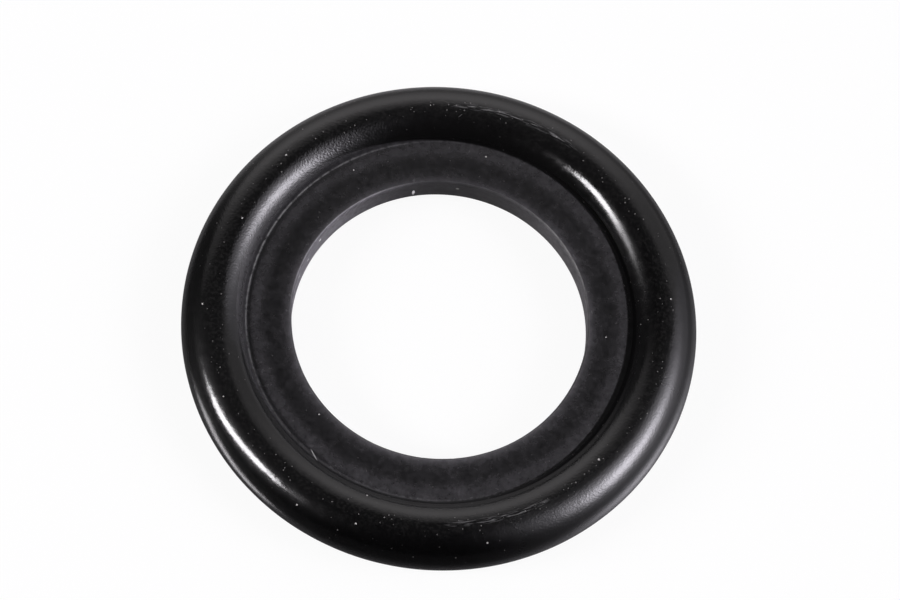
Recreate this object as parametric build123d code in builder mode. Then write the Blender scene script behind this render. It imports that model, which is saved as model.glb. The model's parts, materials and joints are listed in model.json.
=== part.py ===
from build123d import *
from math import sqrt
import os

# Drain plug washer: one ring moulded in rubber. A round sealing bead runs around the outside, and a
# thin flat web joins it to the plug hole. The washer is alike above and below. It lies on Z = 0, and
# the Z axis runs through the middle of the hole.

# Driving dimensions, in millimetres
bore_diameter = 12.6  # clears a plug with a 12 mm thread
web_width = 1.95  # flat ring around the hole
web_thickness = 1.35
bead_diameter = 2.85  # round section of the bead, which is also the washer's thickness
foot_radius = 0.12  # hollow fillet where the bead runs out onto the web
bore_edge_bevel = 0.08  # broken edge of the hole, above and below

# Places on the section that follow from those sizes
bore_radius = bore_diameter / 2
bead_radius = bead_diameter / 2
mid_height = bead_radius
web_half = web_thickness / 2
# The fillet touches the web's flat face and the bead, which sets how far the bead's centre lies from it
foot_reach = sqrt((bead_radius + foot_radius) ** 2 - (web_half + foot_radius) ** 2)
bead_centre_radius = bore_radius + web_width + foot_reach
outer_radius = bead_centre_radius + bead_radius

os.makedirs("parts", exist_ok=True)

with BuildPart() as drain_plug_washer:
    # Half section beside the axis: X is the distance from the axis, Y the height
    with BuildSketch(Plane.XZ) as section:
        with Locations((bead_centre_radius, mid_height)):
            Circle(bead_radius)
        with Locations((bore_radius, mid_height)):
            Rectangle(bead_centre_radius - bore_radius, web_thickness, align=(Align.MIN, Align.CENTER))
        bead_feet = section.vertices().group_by(Axis.X)[1]
        fillet(bead_feet, foot_radius)
        bore_edges = section.vertices().group_by(Axis.X)[0]
        chamfer(bore_edges, bore_edge_bevel)
    revolve(axis=Axis.Z)

drain_plug_washer.part.label = "drain_plug_washer"
export_step(drain_plug_washer.part, "parts/drain_plug_washer.step")
print("across the bead", 2 * outer_radius, "thickness", bead_diameter)
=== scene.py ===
# %% [markdown]
# # A rubber washer for a drain plug
# The washer is one ring moulded in black rubber, 22 mm across and not quite 3 mm thick. A round bead runs
# around the outside, and a thin flat web joins it to the hole for the plug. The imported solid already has
# that form. This lesson gives it what the eye expects of a real one: softened corners, a slightly uneven
# skin, a chipped edge, a bloomed web, dust, and lamps that draw a black shape. Everything is in metres and
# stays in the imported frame.

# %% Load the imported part
import json
from math import cos, pi, radians, sin

import bpy
import numpy as np
from mathutils import Matrix, Quaternion, Vector


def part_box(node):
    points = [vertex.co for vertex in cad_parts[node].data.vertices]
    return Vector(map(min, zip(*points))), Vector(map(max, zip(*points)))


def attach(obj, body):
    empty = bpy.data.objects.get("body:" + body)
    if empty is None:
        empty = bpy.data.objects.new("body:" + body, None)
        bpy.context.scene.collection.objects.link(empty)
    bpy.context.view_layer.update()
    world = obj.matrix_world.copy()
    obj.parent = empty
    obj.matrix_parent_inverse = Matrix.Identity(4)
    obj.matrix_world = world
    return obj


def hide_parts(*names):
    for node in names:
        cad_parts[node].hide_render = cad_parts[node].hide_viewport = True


NODE = "drain_plug_washer"
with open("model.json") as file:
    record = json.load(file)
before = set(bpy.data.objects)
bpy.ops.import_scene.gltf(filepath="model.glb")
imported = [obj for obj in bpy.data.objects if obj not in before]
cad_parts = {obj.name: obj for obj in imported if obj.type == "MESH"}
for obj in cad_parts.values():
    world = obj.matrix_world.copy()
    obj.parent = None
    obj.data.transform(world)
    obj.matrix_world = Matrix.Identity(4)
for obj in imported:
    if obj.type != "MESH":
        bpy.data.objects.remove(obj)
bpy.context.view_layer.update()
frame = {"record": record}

# %% [markdown]
# ## The sizes of the section
# A ring is known by its section, the shape that a cut through one side would show. Its outside and its
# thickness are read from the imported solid's box, and the hole and the web's thickness from the mount in the
# hole, so they can't drift from the part. Only the small sizes that the frame doesn't give are written
# here. The fillet at the foot of the bead touches both the bead and the web's flat face, and that places
# the foot.

# %% Sizes of the section
MM = 0.001
foot_radius = 0.12 * MM
bore_edge_bevel = 0.08 * MM

lowest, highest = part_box(NODE)
bore = next(mount for mount in frame["record"]["mounts"] if mount["name"] == "bore")
outer_radius = highest.x
bead_radius = (highest.z - lowest.z) / 2
bead_centre_radius = outer_radius - bead_radius
mid_height = bead_radius
bore_radius = bore["dims"]["r_mm"] * MM
web_half = bore["dims"]["length_mm"] * MM / 2
foot_reach = np.sqrt((bead_radius + foot_radius) ** 2 - (web_half + foot_radius) ** 2)
web_radius = bead_centre_radius - foot_reach
print("bead centre and web edge, mm:", bead_centre_radius / MM, web_radius / MM)

# %% [markdown]
# ## The section's outline
# The upper half runs from the middle of the hole's wall up over its broken edge, out along the web, round
# the hollow fillet and over the bead. The lower half is its mirror image, because the washer goes on either
# way up. Heights are taken from the middle plane.

# %% The exact outline


def arc(centre, radius, start, end, count=300):
    """Points on a circle: the centre, plus the radius times the cosine and sine of the angle."""
    angle = np.linspace(start, end, count)
    return np.stack([centre[0] + radius * np.cos(angle), centre[1] + radius * np.sin(angle)], axis=1)


fillet_centre = (web_radius, web_half + foot_radius)
contact_angle = np.arctan2(-fillet_centre[1], foot_reach)
web_corners = [
    (bore_radius, 0),
    (bore_radius, web_half - bore_edge_bevel),
    (bore_radius + bore_edge_bevel, web_half),
]
fillet = arc(fillet_centre, foot_radius, -np.pi / 2, contact_angle)
bead = arc((bead_centre_radius, 0), bead_radius, np.pi + contact_angle, 0)
upper_half = np.concatenate([web_corners, fillet, bead])
lower_half = upper_half[::-1] * (1, -1)
outline = np.concatenate([upper_half, lower_half[1:-1]])
print("outline points:", len(outline))

# %% [markdown]
# ## Softened corners and well-placed points
# No moulded rubber corner is truly sharp. One way is a bevel on the finished mesh. Here the outline itself
# is blurred along its length, which is simple in Fourier terms: fine waves are damped, so corners round off
# and wide arcs stay. Then the points are placed so that they crowd where the outline turns and thin out
# where it is straight.

# %% Soften and resample the outline
EDGE_SOFTNESS = 0.012 * MM
FINE_POINTS = 6000
SECTION_POINTS = 138
LONGEST_STEP = 0.12 * MM
LARGEST_TURN = np.radians(14)


def evenly(points, count):
    """Complex points at equal steps along a closed outline, by the length run so far, and its length."""
    closed = np.concatenate([points, points[:1]])
    run = np.concatenate([[0], np.cumsum(np.linalg.norm(np.diff(closed, axis=0), axis=1))])
    at = np.linspace(0, run[-1], count, endpoint=False)
    return np.interp(at, run, closed[:, 0]) + 1j * np.interp(at, run, closed[:, 1]), run[-1]


def softened(points, length, softness):
    """The outline blurred along itself: each Fourier term is damped by a bell curve of its wave number."""
    waves = np.fft.fftfreq(len(points), length / len(points))
    return np.fft.ifft(np.fft.fft(points) * np.exp(-0.5 * (2 * np.pi * waves * softness) ** 2))


def crowded(density, count):
    """Places from 0 to 1, closer where the density is high: equal steps of its running sum, read back."""
    share = np.concatenate([[0], np.cumsum(density)]) / np.sum(density)
    return np.interp(np.arange(count) / count, share, np.linspace(0, 1, len(share)))


fine, outline_length = evenly(outline, FINE_POINTS)
fine = softened(fine, outline_length, EDGE_SOFTNESS)
step = np.roll(fine, -1) - fine
turn = np.abs(np.angle(np.roll(step, -1) / step))
place = FINE_POINTS * crowded(np.abs(step) / LONGEST_STEP + turn / LARGEST_TURN, SECTION_POINTS)
section = np.interp(place, np.arange(FINE_POINTS + 1), np.append(fine, fine[0]))
tangent = np.roll(section, -1) - np.roll(section, 1)
outward = 1j * tangent / np.abs(tangent)
print("section length, mm:", outline_length / MM)

# %% [markdown]
# ## An uneven skin
# A plain turn of the section would be too perfect. On a real moulding the skin rises and falls by a few
# thousandths of a millimetre in slow waves, which can't be seen as a shape but break up the edges of the
# reflections. They are summed from cosines of whole turns, so they close on themselves, and they only go
# inwards, so the washer keeps its size.

# %% Slow waves in the skin
AZIMUTHS = 720
SKIN_WAVES = 28
TURNS_AROUND_LIMIT = 24
TURNS_ALONG_LIMIT = 9
SKIN_DEPTH = 0.005 * MM
random = np.random.default_rng(7)

azimuth = 2 * np.pi * np.arange(AZIMUTHS) / AZIMUTHS
along = 2 * np.pi * np.arange(SECTION_POINTS) / SECTION_POINTS


def skin_waves(azimuth, along):
    """From 0 to 1: a sum of cosines of whole turns around the ring and along the section."""
    around = random.integers(1, TURNS_AROUND_LIMIT, SKIN_WAVES)
    across = random.integers(0, TURNS_ALONG_LIMIT, SKIN_WAVES)
    phase = random.uniform(0, 2 * np.pi, SKIN_WAVES)
    angle = around * azimuth[:, None, None] + across * along[None, :, None] + phase
    waves = np.cos(angle).sum(axis=2)
    return (waves - waves.min()) / np.ptp(waves)


skin_depth = SKIN_DEPTH * skin_waves(azimuth, along)
print("deepest hollow in the skin, mm:", skin_depth.max() / MM)

# %% [markdown]
# ## The chipped edge of the hole
# At the far left the upper edge of the hole is ragged, where rubber tore as the core was pulled out. The
# rest of the edge is only slightly rough. Each chip is a hollow that is deepest at the edge and fades
# within a tenth of a millimetre. Its depth around the hole comes from quick cosines, of which only the
# peaks are kept.

# %% Chips in the edge
CHIP_REACH = 0.1 * MM
CHIP_DEPTH = 0.075 * MM
ROUGH_DEPTH = 0.012 * MM
CHIP_MIDDLE = np.radians(160)
CHIP_SPREAD = np.radians(11)
CHIP_TURNS = (40, 130)
ROUGH_TURNS = (30, 160)


def ragged(azimuth, slowest, quickest, count=14):
    """From 0 to 1 around the hole: the squared positive part of a sum of cosines of whole turns."""
    number = random.integers(slowest, quickest, count)
    phase = random.uniform(0, 2 * np.pi, count)
    waves = np.cos(number * azimuth[:, None] + phase).sum(axis=1)
    peaks = np.maximum(waves, 0) ** 2
    return peaks / peaks.max()


hole_corner = bore_radius + bore_edge_bevel / 2 + 1j * (web_half - bore_edge_bevel / 2)
nearness = np.exp(-((np.abs(section - hole_corner) / CHIP_REACH) ** 2))
torn_stretch = np.exp(-(((azimuth - CHIP_MIDDLE) / CHIP_SPREAD) ** 2))
chips = CHIP_DEPTH * torn_stretch * ragged(azimuth, *CHIP_TURNS)
chip_depth = chips + ROUGH_DEPTH * ragged(azimuth, *ROUGH_TURNS)
hollow = skin_depth + chip_depth[:, None] * nearness
print("deepest chip, mm:", chip_depth.max() / MM)

# %% [markdown]
# ## The ring
# The ring is the section carried around the axis: a surface of two parameters, the azimuth and the place
# along the section. Both come back to where they began, so the grid closes on itself both ways, and every
# point joins its neighbours with wrapped indices. The corners of a face go along the section first and then
# around the axis, which turns the faces outwards.

# %% Make the ring's mesh


def carried_around(profile, azimuth):
    """Points with the profile's real part as distance from the axis and its imaginary part as height."""
    east = profile.real * np.cos(azimuth)[:, None]
    north = profile.real * np.sin(azimuth)[:, None]
    return np.stack([east, north, profile.imag + mid_height], axis=-1)


def closed_grid_faces(rows, columns):
    """Corners of each cell of a grid that wraps both ways: a point, the next along, across and back."""
    row, column = np.meshgrid(np.arange(rows), np.arange(columns), indexing="ij")
    next_row = (row + 1) % rows
    next_column = (column + 1) % columns
    corners = [row * columns + column, row * columns + next_column]
    corners += [next_row * columns + next_column, next_row * columns + column]
    return np.stack(corners, axis=-1).reshape(-1, 4)


def mesh_object(name, points, faces):
    """A smooth-shaded object at the origin, made from an array of points and an array of faces."""
    mesh = bpy.data.meshes.new(name)
    mesh.from_pydata(points.reshape(-1, 3).tolist(), [], faces.tolist())
    mesh.polygons.foreach_set("use_smooth", np.ones(len(faces), dtype=bool))
    mesh.update()
    piece = bpy.data.objects.new(name, mesh)
    bpy.context.scene.collection.objects.link(piece)
    return piece


ring_points = carried_around(section - outward * hollow, azimuth)
ring = mesh_object("rubber_ring", ring_points, closed_grid_faces(AZIMUTHS, SECTION_POINTS))
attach(ring, "root")
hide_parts(NODE)
print("ring faces:", len(ring.data.polygons))

# %% [markdown]
# ## A shorthand for shader maths
# A finish is a graph of nodes, and long sums are hard to read as a graph. The class below wraps one socket,
# so that an expression such as 1 - mask adds its Math node by itself. Every other kind of node comes from
# one method.

# %% Values and nodes


class Value:
    """What a socket gives. Arithmetic on values adds Math nodes to the same tree."""

    def __init__(self, nodes, socket):
        self.nodes = nodes
        self.socket = socket

    def math(self, operation, *terms):
        return self.nodes.add("ShaderNodeMath", {"operation": operation}, dict(enumerate(terms)))

    def __add__(self, other):
        return self.math("ADD", self, other)

    def __radd__(self, other):
        return self.math("ADD", other, self)

    def __sub__(self, other):
        return self.math("SUBTRACT", self, other)

    def __rsub__(self, other):
        return self.math("SUBTRACT", other, self)

    def __mul__(self, other):
        return self.math("MULTIPLY", self, other)

    def __rmul__(self, other):
        return self.math("MULTIPLY", other, self)

    def __truediv__(self, other):
        return self.math("DIVIDE", self, other)

    def __pow__(self, other):
        return self.math("POWER", self, other)

    def exponential(self):
        return self.math("EXPONENT", self)

    def above(self, level):
        return self.math("GREATER_THAN", self, level)

    def rise(self, start, end):
        """0 up to start, 1 from end on and a smooth rise between. With start past end, a smooth fall."""
        inputs = {"Value": self, "From Min": start, "From Max": end}
        return self.nodes.add("ShaderNodeMapRange", {"interpolation_type": "SMOOTHSTEP"}, inputs)

    def bell(self, middle, width):
        """1 at the middle, falling as the exponential of minus the squared distance in widths."""
        distance = (self - middle) / width
        return (distance * distance * -1).exponential()

    def part(self, axis):
        """One coordinate of a vector, or one channel of a colour, by the axis it stands for."""
        return self.nodes.add("ShaderNodeSeparateXYZ", inputs={0: self}, output=axis)


class Nodes:
    """A node tree that is filled by code."""

    def __init__(self, tree):
        self.tree = tree
        tree.nodes.clear()

    def add(self, kind, settings=(), inputs=(), output=0):
        """Makes a node of a type, sets its settings, sets or links its sockets, and gives one output."""
        node = self.tree.nodes.new(kind)
        for name, setting in dict(settings).items():
            setattr(node, name, setting)
        for name, given in dict(inputs).items():
            if isinstance(given, Value):
                self.tree.links.new(given.socket, node.inputs[name])
            else:
                node.inputs[name].default_value = given
        return Value(self, node.outputs[output]) if node.outputs else None

    def mixed_colour(self, share, first, second):
        """The first colour where the share is 0 and the second where it is 1."""
        inputs = {"Factor": share, 6: first, 7: second}
        return self.add("ShaderNodeMix", {"data_type": "RGBA"}, inputs, 2)


def colour(red, green, blue):
    """A colour as a socket holds it, with full opacity."""
    return (red, green, blue, 1.0)


print("shader shorthand ready")

# %% [markdown]
# ## Where on the washer a point lies
# The finish changes from the hole to the bead, so the material first works out each point's distance from
# the axis, in millimetres, from Object coordinates. The piece sits at the origin, so these are the part's
# own coordinates. Most bands of the finish lie beside the hole's edge, the foot of the bead or the crown,
# so the distances past these three circles are kept too. Cloudy noise on the same coordinates will make
# each band uneven.

# %% Start the rubber's finish
rubber = bpy.data.materials.new("black_rubber")
rubber.use_nodes = True
rubber_nodes = Nodes(rubber.node_tree)
place_on_part = rubber_nodes.add("ShaderNodeTexCoord", output="Object")
x = place_on_part.part("X") / MM
y = place_on_part.part("Y") / MM
radius = (x * x + y * y) ** 0.5
crown_mm = bead_centre_radius / MM
past_bore = radius - bore_radius / MM
past_foot = radius - web_radius / MM
past_crown = radius - crown_mm


def noise(size, detail=2.0, roughness=0.5, at=place_on_part):
    """Cloudy noise, about 0.5 on average, with features of about the given size in units of the place."""
    inputs = {"Vector": at, "Scale": 1 / size, "Detail": detail, "Roughness": roughness}
    return rubber_nodes.add("ShaderNodeTexNoise", inputs=inputs)


print("web runs from", bore_radius / MM, "to", web_radius / MM, "mm, crown at", crown_mm)

# %% [markdown]
# Bloom, wear and dust also differ from side to side. The cosine of the turn from a point to an azimuth is 1
# at that azimuth and -1 opposite, and it is only a sum of the point's two directions, so no angle is
# needed.

# %% Sides of the ring
rightward = x / radius
backward = y / radius


def towards(azimuth):
    """The cosine of the turn from a point to an azimuth in degrees: 1 there and -1 opposite."""
    return cos(radians(azimuth)) * rightward + sin(radians(azimuth)) * backward


def leaning(azimuth):
    """A half cosine: 1 at an azimuth in degrees and 0 opposite."""
    return 0.5 + 0.5 * towards(azimuth)


def within(azimuth, inner, outer):
    """1 within the inner angle from an azimuth, falling smoothly to 0 at the outer one, in degrees."""
    return towards(azimuth).rise(cos(radians(outer)), cos(radians(inner)))


print("nodes for place and side:", len(rubber.node_tree.nodes))

# %% [markdown]
# ## Bloom on the web, with painted shade and a painted highlight
# Waxes in the rubber creep out and dull the surface that nothing rubs. The bead is handled and stays black
# and shiny, while the web is greyer along the edge of the hole and again towards the bead, with a darker
# ring between. At the right the grey stops a quarter of a millimetre short of the bead, and the corner
# there is left black as painted shade, where the bead shades the web. At the left, and a little behind it,
# the bloom creeps up the foot of the bead. So its edge is a circle, less a power of a half cosine that is
# greatest at the right, plus a power of one that is greatest where it creeps. At the left a painted shadow
# of the bead darkens the web just inside its foot. Where the edge of the hole is torn, at the far left, a
# pale hairline is a painted highlight.

# %% Colour of the bead and the web
BARE_RUBBER = colour(0.0013, 0.00125, 0.0014)
BLOOM_AND_LIGHT_GREY = colour(0.16, 0.155, 0.165)
PAINTED_SHADE_GAP = 0.25
BLOOM_CREEP = 0.492
BLOOM_FADE = 0.04
CREEP_AZIMUTH = 164.9
TORN_AZIMUTH = 145.2
RIM_REACH = 0.18

left_weight = leaning(CREEP_AZIMUTH) ** 6
# Painted shade: at the right the grey ends short of the bead, leaving a black band where the bead shades the
# web.
bloom_and_shade_edge = BLOOM_CREEP * left_weight - PAINTED_SHADE_GAP * leaning(0) ** 5
web_share = (past_foot - bloom_and_shade_edge).rise(BLOOM_FADE, -BLOOM_FADE)
bevel_share = past_bore.rise(0.12, 0.05)
# Painted highlight: a pale line along the torn upper edge of the hole, where it catches the light.
painted_edge_highlight = 0.7 * within(TORN_AZIMUTH, 18, 41.3) * past_bore.bell(0.07, 0.03)
rim_bloom = (0.52 - 0.12 * backward) * (past_bore / -RIM_REACH).exponential()
edge_bloom_and_highlight = rim_bloom * (1 - 0.6 * bevel_share) + painted_edge_highlight
# Painted shadow of the bead, darkening the web just inside its foot on the left half.
painted_bead_shadow = past_foot.bell(-0.16, 0.09) * rightward.rise(-0.1, -0.8)
foot_bloom_and_shadow = (0.095 - 0.01 * backward) * past_foot.rise(-0.946, -0.396) * (1 - 0.55 * painted_bead_shadow)
even_bloom = 0.037 + 0.007 * rightward - 0.009 * backward
print("bloom stops", PAINTED_SHADE_GAP, "mm short at the right and creeps", BLOOM_CREEP, "mm at the left")

# %% [markdown]
# ## Bloom and painted light in the hole
# The wall of the hole has a little bloom all round. Over it light is painted: the wall is greyest at its
# two sides, which face the lamps, most of all at the left, and almost bare at the back, which faces away
# from them. So the painted light grows with the square of the cosine of the azimuth. Two cloudy noises,
# one coarse and one fine, make all of the grey uneven, and at the left a dotted line of painted shade
# breaks it just short of the bead.

# %% Colour of the hole's wall
CLOUD_SIZE = 0.9 * MM
MOTTLE_SIZE = 0.2 * MM
SHADE_DOT_SIZE = 0.14 * MM
SHADE_DOT_AZIMUTH = 195.2

wall_share = past_bore.rise(0.04, 0.01)
# Painted light on the wall: a little bloom, plus grey that is greatest at the sides facing the lamps.
wall_bloom_and_light = 0.09 + (0.85 - 0.45 * rightward) * rightward * rightward
clouds = 0.5 + noise(CLOUD_SIZE, detail=4.0)
mottle = 2.1 * clouds * noise(MOTTLE_SIZE, detail=3.0, roughness=0.6)
# Painted shade: a dotted dark line in the grey just short of the bead at the left.
shade_dot_row = past_foot.bell(-0.12, 0.05) * leaning(SHADE_DOT_AZIMUTH) ** 4
painted_shade_dots = shade_dot_row * noise(SHADE_DOT_SIZE).rise(0.3, 0.5)
banded_bloom_and_light = (edge_bloom_and_highlight + foot_bloom_and_shadow) * (0.5 + 0.5 * mottle)
flat_bloom_and_light = (even_bloom * mottle ** 2 + banded_bloom_and_light) * (1 - 0.9 * painted_shade_dots)
# The grey of bloom together with the painted light and shade above, on the web and the wall.
bloom_and_light = web_share * (flat_bloom_and_light * (1 - wall_share) + wall_bloom_and_light * mottle * wall_share)
skin_colour = rubber_nodes.mixed_colour(bloom_and_light, BARE_RUBBER, BLOOM_AND_LIGHT_GREY)
print("nodes after the bloom:", len(rubber.node_tree.nodes))

# %% [markdown]
# ## Scuffs on the crown
# The crown is what the washer lies on, so in two places it is scuffed. The scuffs run around the ring, so
# they come from a noise that is read at the radius and the azimuth, stretched along the azimuth. A bell
# curve around the crown's circle limits them.

# %% Scuffed stretches
SCUFFED_RUBBER = colour(0.10, 0.10, 0.10)
STREAK_WIDTH = 0.06
STREAK_LENGTH = 0.6
FAR_SCUFF_AZIMUTH = 77.9
NEAR_SCUFF_AZIMUTH = 292.2

scuffed_stretches = within(FAR_SCUFF_AZIMUTH, 12.1, 20.3) + within(NEAR_SCUFF_AZIMUTH, 9.8, 15.1)
way_around = y.math("ARCTAN2", y, x) * crown_mm
streak_inputs = {"X": radius / STREAK_WIDTH, "Y": way_around / STREAK_LENGTH}
ring_place = rubber_nodes.add("ShaderNodeCombineXYZ", inputs=streak_inputs)
streaks = noise(1.0, at=ring_place).rise(0.47, 0.65)
scuff = (past_crown - 0.08 * backward).bell(0.02, 0.11) * scuffed_stretches * streaks
scuffed_colour = rubber_nodes.mixed_colour(scuff, skin_colour, SCUFFED_RUBBER)
print("scuffs at azimuths", FAR_SCUFF_AZIMUTH, "and", NEAR_SCUFF_AZIMUTH)

# %% [markdown]
# ## Painted light and dust in the crease
# The crease between bead and web carries painted light and some dust. At the left a thin pale line is a
# painted highlight, where the foot of the bead faces the softbox. At the near side a faint grey is a
# painted reflection of the card behind, and at the near edge of the web a row of specks is dust. The grey
# reaches half a millimetre up the bead, at the near side it is thin in the middle and thick again at its
# upper end, and it is dimmer at the right.

# %% Crease with painted light and dust
DUST_AND_SHEEN_GREY = colour(0.19, 0.19, 0.19)
CREASE_HIGHLIGHT_SIZE = 0.2 * MM
NEAR_SPECK_SIZE = 0.16 * MM

crease_start = past_foot.rise(-0.06, 0)
crease = crease_start * past_foot.rise(0.2, 0.09)
# Painted highlight: a thin pale line at the left, where the foot of the bead faces the softbox.
painted_crease_highlight = past_foot.bell(0, 0.03) * left_weight * noise(CREASE_HIGHLIGHT_SIZE, detail=3.0).rise(0.25, 0.6)
near_side = leaning(270)
speck_row = past_foot.bell(-0.05, 0.05) * near_side ** 8
near_specks = speck_row * noise(NEAR_SPECK_SIZE, detail=3.0).rise(0.4, 0.7)
# Painted reflection: faint grey up the foot of the bead at the near side, dimmer at the right.
painted_foot_sheen = crease_start * past_foot.rise(0.6, 0.35)
uneven_foot = near_side ** 4 * (0.7 * past_foot.bell(0.48, 0.07) - 0.8 * past_foot.bell(0.28, 0.09))
dimmer_right = 1 - 0.8 * rightward.rise(0.1, 0.9)
painted_crease_sheen = 0.09 * (painted_foot_sheen + uneven_foot) * near_side * dimmer_right
crease_dust_and_sheen = painted_crease_highlight + painted_crease_sheen + 0.15 * near_specks
creased_colour = rubber_nodes.mixed_colour(crease_dust_and_sheen, scuffed_colour, DUST_AND_SHEEN_GREY)
print("nodes after the crease:", len(rubber.node_tree.nodes))

# %% [markdown]
# ## Dust and lint
# Black rubber shows every speck. A Voronoi texture scatters one point in each cell of space, and only
# points that happen to lie on the skin show, as dots. Many cells are left empty, most of them on the web
# and fewest on the crown, and each dot has its own size and strength. On the crown there is a very thin
# cloudy film as well, and an even one at the far side.

# %% Fine dust
DUST_CELL = 0.22 * MM
EMPTY_SHARE = 0.55
FILM_SHARE = 0.011
FILM_SIZE = 0.13 * MM

dust_inputs = {"Vector": place_on_part, "Scale": 1 / DUST_CELL}
dust_distance = rubber_nodes.add("ShaderNodeTexVoronoi", inputs=dust_inputs, output="Distance")
dust_draw = rubber_nodes.add("ShaderNodeTexVoronoi", inputs=dust_inputs, output="Color")
dust_radius = 0.09 + 0.11 * dust_draw.part("Y")
on_crown = past_crown.bell(0, 0.5)
empty_share = EMPTY_SHARE - 0.4 * on_crown + 0.3 * web_share
dust_dots = dust_draw.part("X").above(empty_share) * dust_distance.rise(dust_radius, 0.5 * dust_radius)
film = FILM_SHARE * (on_crown * noise(FILM_SIZE).rise(0.45, 0.65) + 0.35 * backward.rise(0.3, 1.0))
dust = dust_dots * (0.01 + 0.26 * dust_draw.part("Z") ** 3) + film
print("nodes after the dust:", len(rubber.node_tree.nodes))

# %% [markdown]
# A few larger grains lie in known places. Each is a ball around its place, and shows where the ball meets
# the skin.

# %% Larger grains
GRAIN_PALENESS = 0.8
GRAINS = (
    # azimuth in degrees, then radius, height and half width in millimetres
    (322.6, 9.306, 2.824, 0.060),
    (1.4, 7.10, 2.10, 0.036),
    (11.8, 9.837, 2.826, 0.046),
    (82.3, 7.83, 2.10, 0.049),
    (89.9, 6.30, 1.62, 0.088),
    (185.6, 10.10, 2.75, 0.050),
    (210.4, 9.967, 2.795, 0.035),
    (242.2, 10.522, 2.49, 0.052),
    (228.0, 6.748, 2.10, 0.041),
    (256.5, 8.765, 2.598, 0.050),
    (256.6, 10.152, 2.728, 0.052),
    (287.9, 10.41, 2.58, 0.050),
    (139.8, 9.757, 2.838, 0.050),
    (125.5, 7.771, 2.10, 0.038),
    (160.7, 9.444, 2.844, 0.047),
    (99.6, 9.633, 2.849, 0.028),
)


def on_washer(azimuth, distance, height):
    """A place in metres from its azimuth in degrees and its radius and height in millimetres."""
    return (distance * cos(radians(azimuth)) * MM, distance * sin(radians(azimuth)) * MM, height * MM)


def grain_of_dust(azimuth, distance, height, half_width):
    """1 within the half width of the grain's place, by the distance from it."""
    inputs = {0: place_on_part, 1: on_washer(azimuth, distance, height)}
    away = rubber_nodes.add("ShaderNodeVectorMath", {"operation": "DISTANCE"}, inputs, "Value")
    return away.rise(half_width * MM, 0.5 * half_width * MM)


specks = dust
for grain_place in GRAINS:
    specks = specks + GRAIN_PALENESS * grain_of_dust(*grain_place)
print("grains:", len(GRAINS))

# %% [markdown]
# A hair, a piece of lint and crumbs are longer than they are wide, so each is an ellipsoid that a Mapping
# node centres, turns and stretches. The hair and the lint are thin and let the black through, so they are
# less pale. The crumbs on the hole's wall are black flash painted almost white, a painted glint, and the
# one at the back stands upright.

# %% Lint, a hair and crumbs
# The last four rows are black crumbs of flash whose near-white is a painted glint.
LINT_AND_GLINTS = (
    # azimuth, radius, height, three half axes in millimetres, turn in degrees, paleness
    (236.8, 8.20, 2.10, (0.34, 0.030, 0.080), -55, 0.27),
    (91.8, 9.205, 2.80, (0.24, 0.018, 0.030), 45, 0.06),
    (107.1, 6.30, 1.24, (0.080, 0.080, 0.260), 0, 1.0),
    (151.2, 6.30, 1.75, (0.085, 0.075, 0.120), 60, 1.0),
    (160.1, 6.30, 1.52, (0.100, 0.040, 0.060), 60, 1.0),
    (169.3, 6.30, 1.87, (0.090, 0.045, 0.060), 80, 1.0),
)


def fleck(azimuth, distance, height, half_axes, turn, paleness):
    """The paleness where the point's place, in units of the ellipsoid's half axes, is shorter than 1."""
    inputs = {"Vector": place_on_part, "Location": on_washer(azimuth, distance, height)}
    inputs |= {"Rotation": (0, 0, radians(turn)), "Scale": [half_axis * MM for half_axis in half_axes]}
    local = rubber_nodes.add("ShaderNodeMapping", {"vector_type": "TEXTURE"}, inputs)
    length = rubber_nodes.add("ShaderNodeVectorMath", {"operation": "LENGTH"}, {0: local}, "Value")
    return paleness * length.rise(1.0, 0.6)


lint_and_glints = fleck(*LINT_AND_GLINTS[0])
for fleck_place in LINT_AND_GLINTS[1:]:
    lint_and_glints = lint_and_glints + fleck(*fleck_place)
DUST = colour(0.50, 0.49, 0.47)
# Near white: real lint and hair take a little of it, the crumbs take it fully as a painted glint.
WHITE_LINT_AND_GLINT = colour(0.95, 0.95, 0.93)
speckled_colour = rubber_nodes.mixed_colour(specks, creased_colour, DUST)
dust_and_light_colour = rubber_nodes.mixed_colour(lint_and_glints, speckled_colour, WHITE_LINT_AND_GLINT)
print("flecks:", len(LINT_AND_GLINTS))

# %% [markdown]
# ## Grain of the skin
# The bead is moulded against polished steel, so it is glossy, but not a mirror: a fine grain breaks its
# highlights into sparkle. It is deeper on two opposite quarters, as the strokes of the polishing ran one
# way, so it follows the product of the azimuth's sine and cosine. Slower lumps bend the highlights a
# little. Both are too fine for the mesh, so they are a bump.

# %% Grain and lumps
GRAIN_SIZE = 0.08 * MM
GRAIN_DEPTH = 0.0085
LUMP_SIZE = 0.5 * MM
LUMP_DEPTH = 0.006

grainy = 0.6 - 0.75 * rightward * backward
relief = GRAIN_DEPTH * grainy * noise(GRAIN_SIZE, detail=1.0) + LUMP_DEPTH * noise(LUMP_SIZE)
bump = rubber_nodes.add("ShaderNodeBump", inputs={"Strength": 1.0, "Distance": MM, "Height": relief})
print("grain depth at most, mm:", GRAIN_DEPTH)

# %% [markdown]
# ## Gloss and haze
# The web is dull with bloom, and dust and scuffs are dull too. A thin film of wax and skin grease lies over
# the bead where it has been held, at the near right and a little at the near left. It is a rough coat over
# the gloss, which spreads a soft haze around each highlight. The crease, with its dust and painted sheen,
# is matte, and at the right the bead's inner side was rubbed dull, so there the gloss gives way to a plain
# diffuse surface.

# %% Gloss, haze and the shader itself
BASE_ROUGHNESS = 0.15
GLOSS_SIZE = 0.35 * MM
RUBBER_IOR = 1.6
HAZE_ROUGHNESS = 0.4
RUBBED_AZIMUTH = 18.1
HELD_AZIMUTH = 322.3
LESS_HELD_AZIMUTH = 217.7

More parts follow.
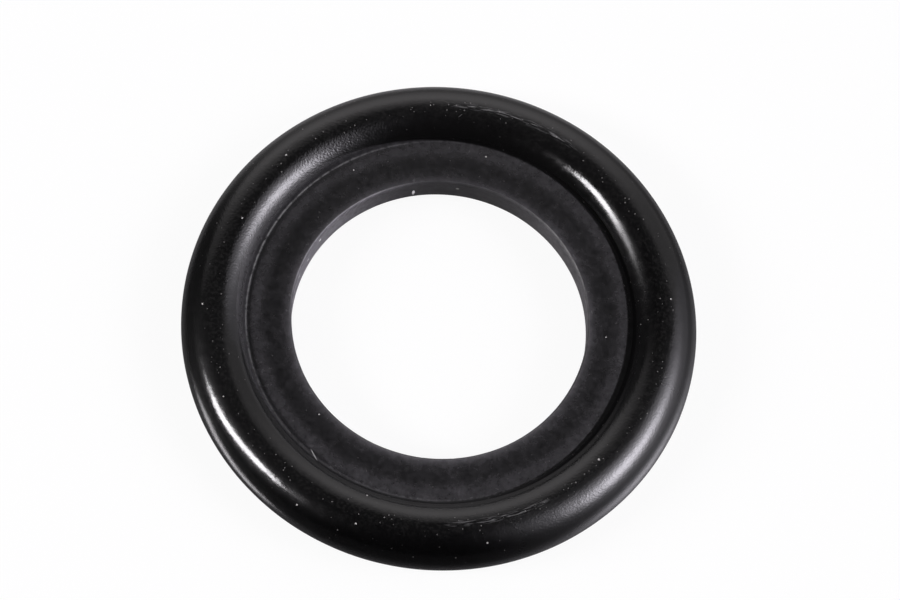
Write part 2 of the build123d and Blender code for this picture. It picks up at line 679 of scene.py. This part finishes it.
bead_share = 1 - web_share
rubbed = within(RUBBED_AZIMUTH, 11.3, 25.8) * past_crown.rise(0.029, -0.371) * bead_share
dulled = 0.09 * web_share + 0.2 * scuff + 0.25 * bevel_share + 0.4 * (specks + lint_and_glints) + 0.1 * rubbed
roughness = BASE_ROUGHNESS + 0.22 * (noise(GLOSS_SIZE, detail=4.0) - 0.5) + dulled
held = within(HELD_AZIMUTH, 0, 41.3) + 0.25 * within(LESS_HELD_AZIMUTH, 0, 41.3)
haze = (0.02 + past_crown.rise(-0.371, 0.229) * (0.05 + 0.53 * held)) * bead_share
skin = {"Base Color": dust_and_light_colour, "Roughness": roughness, "IOR": RUBBER_IOR, "Normal": bump}
skin |= {"Coat Weight": haze, "Coat Roughness": HAZE_ROUGHNESS}
glossy_skin = rubber_nodes.add("ShaderNodeBsdfPrincipled", inputs=skin)
matte_skin = rubber_nodes.add("ShaderNodeBsdfDiffuse", inputs={"Color": dust_and_light_colour})
matte = crease.math("MAXIMUM", crease, 0.6 * rubbed)
shader = rubber_nodes.add("ShaderNodeMixShader", inputs={0: matte, 1: glossy_skin, 2: matte_skin})
rubber_nodes.add("ShaderNodeOutputMaterial", inputs={"Surface": shader})
ring.data.materials.append(rubber)
print("rubber finish nodes:", len(rubber.node_tree.nodes))

# %% [markdown]
# ## The table
# The washer lies on a plain pale table. Seen by the camera the table is almost white and keeps a soft
# shadow. In reflections it is a dark polished sheet, as black rubber on a truly white table would lose its
# dark side. Only a patch under the washer stays pale, and with the mirror images of the lamps it draws the
# thin bright rim along the lower edge. Light Path tells the camera's rays from the mirrored ones.

# %% Table
FLOOR_REACH = 3.0
FLOOR_WHITE_SHARE = 0.92
MIRRORED_WHITE_SHARE = 0.004
WHITE = colour(1, 1, 1)
SHADED_TABLE = colour(0.8, 0.8, 0.8)
DARK_SHEET = colour(0.03, 0.03, 0.03)
PALE_PATCH = colour(0.24, 0.24, 0.24)
SHEET_ROUGHNESS = 0.2
SHEET_IOR = 2.5
PATCH_MIDDLE = (0, 3 * MM, 0)
PATCH_RADIUS = 11 * MM
PATCH_REACH = 17 * MM


def seen_white(nodes):
    """1 for what the camera sees, a small share for what is seen in a reflection or through something."""
    camera_ray = nodes.add("ShaderNodeLightPath", output="Is Camera Ray")
    glossy_ray = nodes.add("ShaderNodeLightPath", output="Is Glossy Ray")
    transmission_ray = nodes.add("ShaderNodeLightPath", output="Is Transmission Ray")
    return camera_ray + MIRRORED_WHITE_SHARE * (glossy_ray + transmission_ray)


corners = np.array([(-1, -1, 0), (1, -1, 0), (1, 1, 0), (-1, 1, 0)]) * FLOOR_REACH
floor = mesh_object("pale_table", corners, np.array([[0, 1, 2, 3]]))
table_finish = bpy.data.materials.new("pale_table")
table_finish.use_nodes = True
table_nodes = Nodes(table_finish.node_tree)
shaded = table_nodes.add("ShaderNodeBsdfDiffuse", inputs={"Color": SHADED_TABLE})
white = table_nodes.add("ShaderNodeEmission", inputs={"Color": WHITE, "Strength": 1.0})
pale = table_nodes.add("ShaderNodeMixShader", inputs={0: FLOOR_WHITE_SHARE, 1: shaded, 2: white})
place_on_table = table_nodes.add("ShaderNodeTexCoord", output="Object")
patch_inputs = {0: place_on_table, 1: PATCH_MIDDLE}
from_middle = table_nodes.add("ShaderNodeVectorMath", {"operation": "DISTANCE"}, patch_inputs, "Value")
patch = from_middle.rise(PATCH_REACH, PATCH_RADIUS)
sheet_colour = table_nodes.mixed_colour(patch, DARK_SHEET, PALE_PATCH)
sheet_inputs = {"Base Color": sheet_colour, "Roughness": SHEET_ROUGHNESS, "IOR": SHEET_IOR}
polished = table_nodes.add("ShaderNodeBsdfPrincipled", inputs=sheet_inputs)
table_inputs = {0: seen_white(table_nodes), 1: polished, 2: pale}
table_surface = table_nodes.add("ShaderNodeMixShader", inputs=table_inputs)
table_nodes.add("ShaderNodeOutputMaterial", inputs={"Surface": table_surface})
floor.data.materials.append(table_finish)
print("table reaches, m:", FLOOR_REACH)

# %% [markdown]
# ## The room
# The room behind the washer is white to the camera. To the rubber it has only a very faint glow, which
# grows towards the back, so that no part of the bead is lost in full black.

# %% Room
ROOM_GLOW = 0.05

world = bpy.data.worlds.new("studio")
world.use_nodes = True
bpy.context.scene.world = world
room_nodes = Nodes(world.node_tree)
backwards = room_nodes.add("ShaderNodeTexCoord", output="Object").part("Y")
room_glow = ROOM_GLOW * backwards.rise(-0.4, 0.4)
dark_room = room_nodes.add("ShaderNodeBackground", inputs={"Color": WHITE, "Strength": room_glow})
white_room = room_nodes.add("ShaderNodeBackground", inputs={"Color": WHITE, "Strength": 1.0})
room_inputs = {0: seen_white(room_nodes), 1: dark_room, 2: white_room}
room = room_nodes.add("ShaderNodeMixShader", inputs=room_inputs)
room_nodes.add("ShaderNodeOutputWorld", inputs={"Surface": room})
print("room glow at most:", ROOM_GLOW)

# %% [markdown]
# ## The lamps
# A black glossy ring shows hardly anything but reflections, so the lamps are placed by what the bead
# mirrors. Each is a flat panel: its place, the way it faces, its two sides and the radiance of its face.
# The radiance may change over the face, as it does on a real softbox, which is hottest in front of its
# bulb. Then it is a function of the place on the face, written with the same shader maths.

# %% A panel lamp


def panel_lamp(name, place, facing, sides, tint, radiance, roll=0):
    """A flat lamp. A power of pi times its area makes the strength in its nodes its face's radiance."""
    lamp = bpy.data.lights.new(name, "AREA")
    lamp.shape = "RECTANGLE"
    lamp.size, lamp.size_y = sides
    lamp.energy = pi * sides[0] * sides[1]
    lamp.color = tint
    lamp.use_nodes = True
    lamp_nodes = Nodes(lamp.node_tree)
    face = lamp_nodes.add("ShaderNodeNewGeometry", output="Position")
    glow = lamp_nodes.add("ShaderNodeEmission", inputs={"Strength": radiance(face)})
    lamp_nodes.add("ShaderNodeOutputLight", inputs={"Surface": glow})
    holder = bpy.data.objects.new(name, lamp)
    holder.location = place
    holder.rotation_mode = "QUATERNION"
    holder.rotation_quaternion = facing.to_track_quat("-Z", "Y") @ Quaternion((0, 0, 1), radians(roll))
    holder.visible_camera = False
    bpy.context.scene.collection.objects.link(holder)
    return holder


LAMP_DISTANCE = 0.6
WASHER_MIDDLE = Vector((0, 0, mid_height))
print("lamps stand", LAMP_DISTANCE, "m away")

# %% [markdown]
# ## The strip lamp at the left
# A narrow strip, leaning, gives the two crisp streaks at the left of the bead and most of the light on the
# web.

# %% Left lamp
STRIP_SIDES = (0.34, 0.14)
STRIP_TINT = (1.0, 0.97, 1.0)
STRIP_RADIANCE = 21.0
STRIP_BEARING = -110
STRIP_ELEVATION = 36
STRIP_ROLL = 45


def direction(bearing, elevation):
    """A unit vector: bearing 0 is straight behind the washer and 90 is to the right, in degrees."""
    turn, lift = radians(bearing), radians(elevation)
    return Vector((sin(turn) * cos(lift), cos(turn) * cos(lift), sin(lift)))


def strip_radiance(face):
    """The same all over the face."""
    return STRIP_RADIANCE


strip_place = WASHER_MIDDLE + LAMP_DISTANCE * direction(STRIP_BEARING, STRIP_ELEVATION)
strip_facing = WASHER_MIDDLE - strip_place
panel_lamp("left_strip", strip_place, strip_facing, STRIP_SIDES, STRIP_TINT, strip_radiance, STRIP_ROLL)
print("left strip at", list(strip_place))

# %% [markdown]
# ## The softbox at the right
# A tall softbox, hottest well below its middle, gives the two broad glows at the right and the far left. It
# stands upright on the floor. Around the hot spot in front of its bulb the cloth glows faintly and fades
# towards its sides, its top and the floor. The hot spot is a bell curve that is wider above than below.

# %% Right softbox
SOFTBOX_SIDES = (1.4, 2.2)
SOFTBOX_TINT = (0.95, 0.92, 1.0)
SOFTBOX_FORWARD = 0.2
CLOTH_RADIANCE = 1.3
HOT_SPOT_RADIANCE = 11.5
HOT_SPOT_ACROSS = -0.09
HOT_SPOT_HEIGHT = 0.5


def softbox_radiance(face):
    """A wide bell curve across the cloth, faded at floor and top, plus a narrow one at the hot spot."""
    across, height = face.part("Y"), face.part("Z")
    upright = (0.5 + 0.5 * height.rise(0.0, 0.8)) * height.rise(SOFTBOX_SIDES[1], 1.2)
    hot_spot = across.bell(HOT_SPOT_ACROSS, 0.21) * height.bell(HOT_SPOT_HEIGHT, 0.15 + 0.19 * height)
    return CLOTH_RADIANCE * across.bell(0.08, 0.5) * upright + HOT_SPOT_RADIANCE * hot_spot


softbox_place = Vector((LAMP_DISTANCE, -SOFTBOX_FORWARD, SOFTBOX_SIDES[1] / 2))
panel_lamp("softbox", softbox_place, Vector((-1, 0, 0)), SOFTBOX_SIDES, SOFTBOX_TINT, softbox_radiance)
print("softbox sides, m:", SOFTBOX_SIDES)

# %% [markdown]
# ## The card behind
# A white card behind the washer greys the far side of the bead. It is brightest just left of the washer at
# a quarter of its height, dims to the right, and its lower left corner is in shade along a slanting line.
# Above it, and in front, all stays dark, which keeps the crown black.

# %% Back card
CARD_SIDES = (1.96, 1.25)
CARD_TINT = (1.0, 0.96, 0.98)
CARD_LEFT = 0.265
EVEN_RADIANCE = 0.24
BRIGHT_RADIANCE = 0.66
BRIGHT_HEIGHT = 0.33


def card_radiance(face):
    """An even part, faded at the top and a slanting line, plus a bell of the height, faded sideways."""
    across, height = face.part("X"), face.part("Z")
    unshaded = height.rise(CARD_SIDES[1], 0.8) * (across + 0.9 * height).rise(-0.5, -0.3)
    even = (EVEN_RADIANCE + 0.08 * across.rise(0.1, 0.4)) * unshaded
    bright = height.bell(BRIGHT_HEIGHT, 0.29) * across.rise(-0.85, -0.3) * across.rise(0.45, 0.05)
    return even + BRIGHT_RADIANCE * bright


card_place = Vector((-CARD_LEFT, LAMP_DISTANCE, CARD_SIDES[1] / 2))
panel_lamp("back_card", card_place, Vector((0, -1, 0)), CARD_SIDES, CARD_TINT, card_radiance)
print("lamps:", [lamp.name for lamp in bpy.data.lights])

# %% [markdown]
# ## The camera
# The photograph looks down at the washer at 68 degrees with a long lens, and leans a little to one side.
# The aim moves along the picture plane, so that the washer lies a little left of the middle and low in the
# frame.

# %% Camera
PICTURE_WIDTH = 900
PICTURE_HEIGHT = 600
SENSOR_WIDTH = 36.0
VIEW_ELEVATION = radians(67.7)
VIEW_ROLL = radians(7.52)
VIEW_DISTANCE = 230 * MM
PIXELS_PER_METRE = 23.459 / MM
MIDDLE_PIXEL = (439.15, 324.99)

back = Vector((0, -cos(VIEW_ELEVATION), sin(VIEW_ELEVATION)))
level_up = Vector((0, sin(VIEW_ELEVATION), cos(VIEW_ELEVATION)))
level_right = Vector((1, 0, 0))
right = cos(VIEW_ROLL) * level_right + sin(VIEW_ROLL) * level_up
up = cos(VIEW_ROLL) * level_up - sin(VIEW_ROLL) * level_right
shift_right = (PICTURE_WIDTH / 2 - MIDDLE_PIXEL[0]) / PIXELS_PER_METRE
shift_up = (MIDDLE_PIXEL[1] - PICTURE_HEIGHT / 2) / PIXELS_PER_METRE

camera_data = bpy.data.cameras.new("camera")
camera_data.sensor_width = SENSOR_WIDTH
camera_data.lens = SENSOR_WIDTH * PIXELS_PER_METRE * VIEW_DISTANCE / PICTURE_WIDTH
camera_data.clip_start = VIEW_DISTANCE / 100
camera_data.clip_end = 10 * FLOOR_REACH
camera = bpy.data.objects.new("camera", camera_data)
camera.matrix_world = Matrix((right, up, back)).transposed().to_4x4()
camera.location = WASHER_MIDDLE + VIEW_DISTANCE * back + shift_right * right + shift_up * up
bpy.context.scene.collection.objects.link(camera)
bpy.context.scene.camera = camera
bpy.context.scene.view_settings.view_transform = "Standard"
print("lens, mm:", camera_data.lens)
